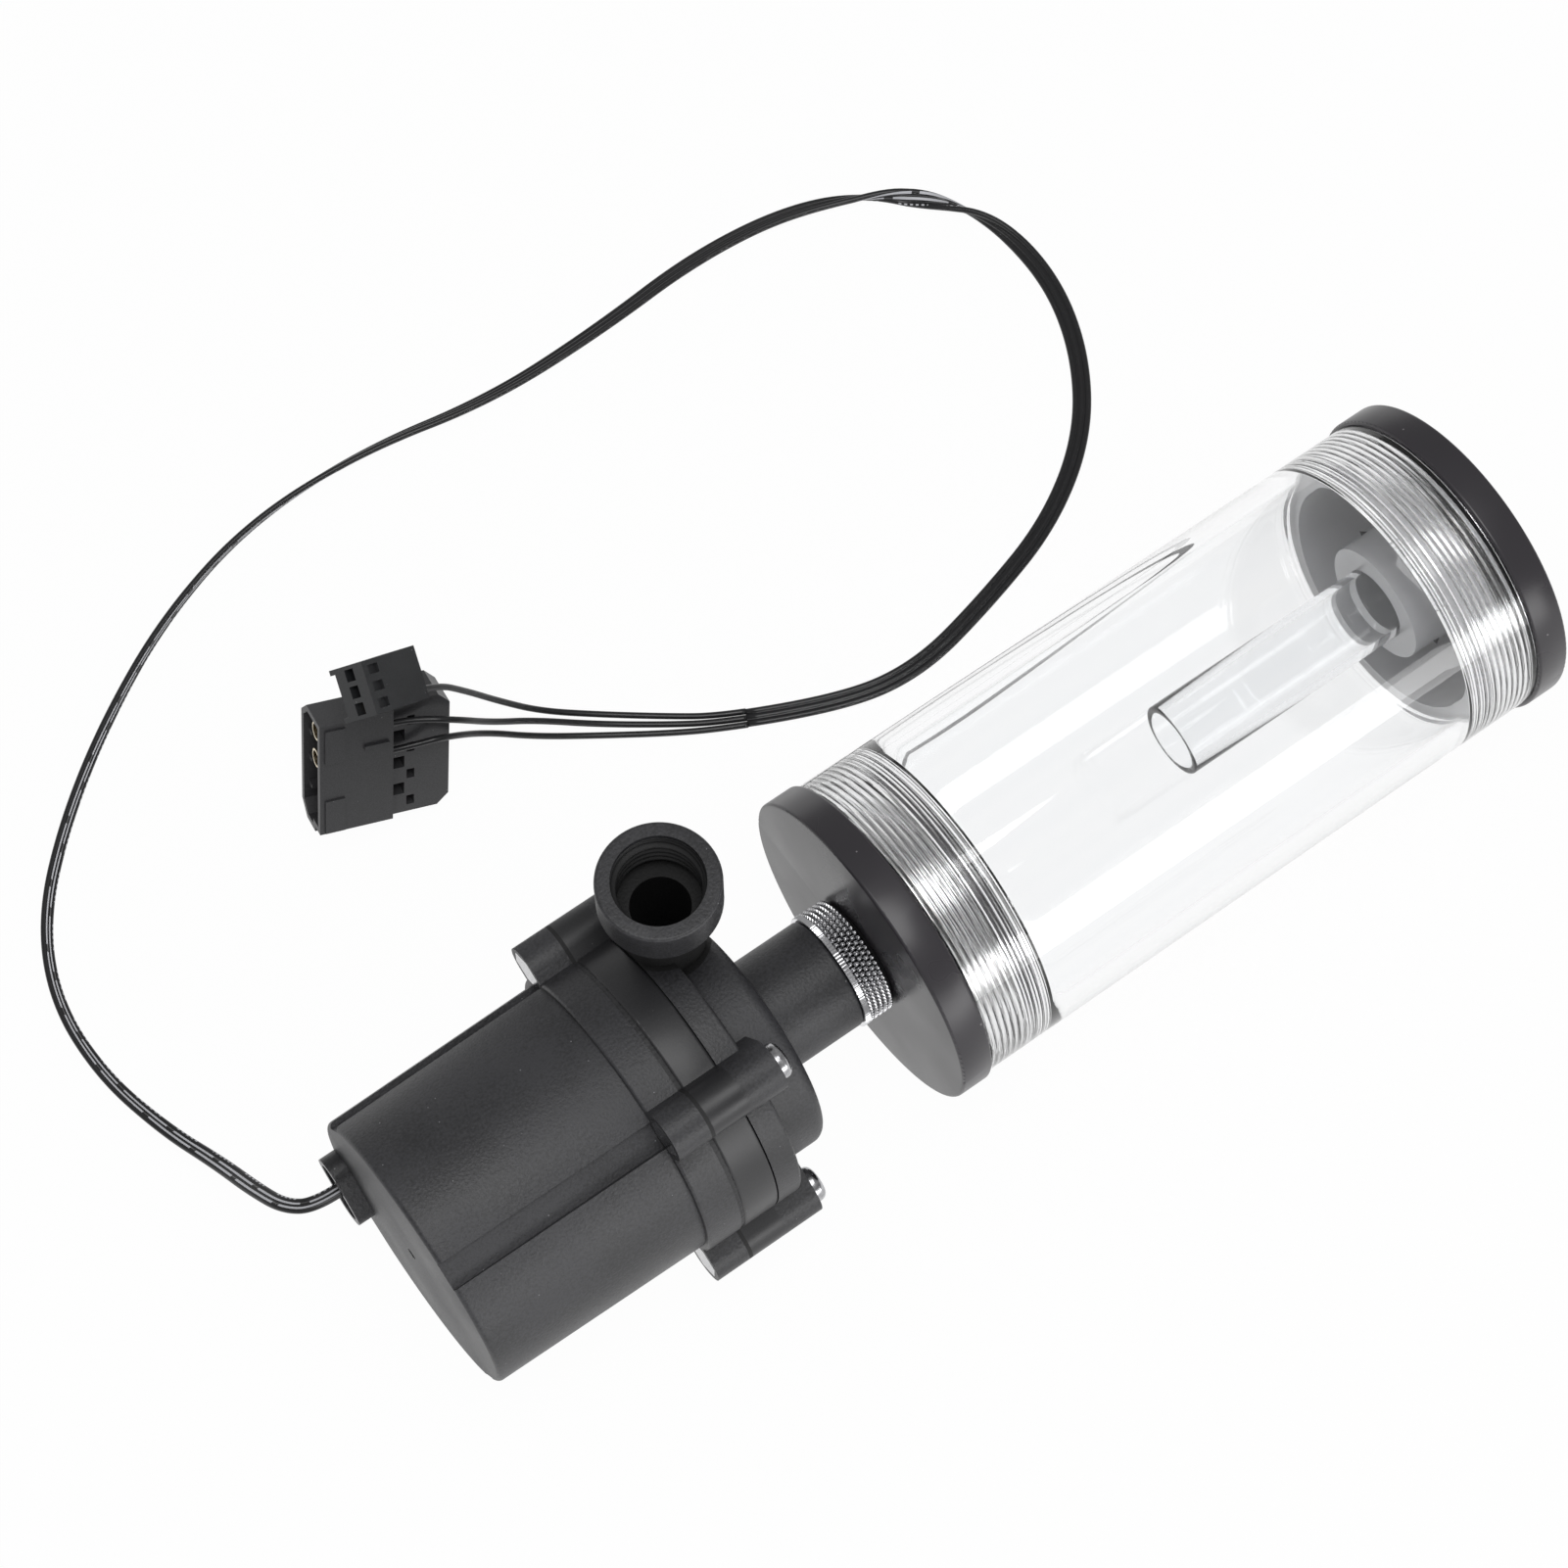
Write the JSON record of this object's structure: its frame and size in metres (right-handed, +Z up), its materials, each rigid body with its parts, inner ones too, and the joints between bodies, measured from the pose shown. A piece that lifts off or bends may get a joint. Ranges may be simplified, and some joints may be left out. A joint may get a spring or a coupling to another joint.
{
  "type": "water cooling pump",
  "caption": "In-line centrifugal coolant pump with a side outlet, screwed to a clear cylinder reservoir, with a wired power and fan connector.",
  "frame": {"origin": "middle of the footprint on the table, below the pump's axis, without the cable", "axes": "+X along the pump's axis to the far end of the reservoir, +Z up along the outlet port"},
  "size_m": [0.2072, 0.1471, 0.0633],
  "materials": {
    "pump_plastic": "moulded glass-filled nylon, satin",
    "can_plastic": "moulded plastic, satin",
    "seal_rubber": "black rubber",
    "electrical_steel": "laminated sheet edges",
    "copper_wire": "enamelled copper",
    "board": "glass-epoxy board",
    "chip_plastic": "moulded epoxy",
    "ferrite": "sintered magnet",
    "carbon": "pressed carbon",
    "ceramic": "polished ceramic",
    "impeller_plastic": "moulded plastic",
    "stainless_steel": "bright stainless steel",
    "nickel_plate": "nickel-plated brass",
    "cap_acetal": "turned acetal, satin",
    "clear_acrylic": "polished clear acrylic",
    "cable_sheath": "black wire insulation",
    "connector_plastic": "moulded nylon",
    "terminal_brass": "plated brass"
  },
  "bodies": {
    "root": {"motor_housing": "pump_plastic", "cable_grommet": "seal_rubber", "driver_board": "board", "board_components": "chip_plastic", "stator_core": "electrical_steel", "stator_windings": "copper_wire", "rotor_can": "can_plastic", "housing_gasket": "seal_rubber", "cover_seal": "seal_rubber", "volute_cover": "pump_plastic", "pump_shaft": "ceramic", "thrust_washers": "ceramic", "cover_screws": "stainless_steel", "screw_nuts": "stainless_steel", "joining_fitting": "nickel_plate", "fitting_seals": "seal_rubber", "pump_side_cap": "cap_acetal", "end_cap": "cap_acetal", "cap_seals": "seal_rubber", "reservoir_tube": "clear_acrylic", "inner_tube": "clear_acrylic", "power_cable": "cable_sheath", "power_lead_upper": "cable_sheath", "power_lead_lower": "cable_sheath", "fan_lead": "cable_sheath", "power_plug": "connector_plastic", "power_socket": "connector_plastic", "power_terminals": "terminal_brass", "fan_plug": "connector_plastic", "fan_terminal": "terminal_brass"},
    "rotor": {"impeller": "impeller_plastic", "rotor_magnet": "ferrite", "rotor_bushes": "carbon"}
  },
  "joints": [
    {"name": "rotor_spin", "type": "hinge", "parent": "root", "child": "rotor", "pos_m": [-0.06, 0, 0.025], "axis": [1, 0, 0], "continuous": true}
  ]
}
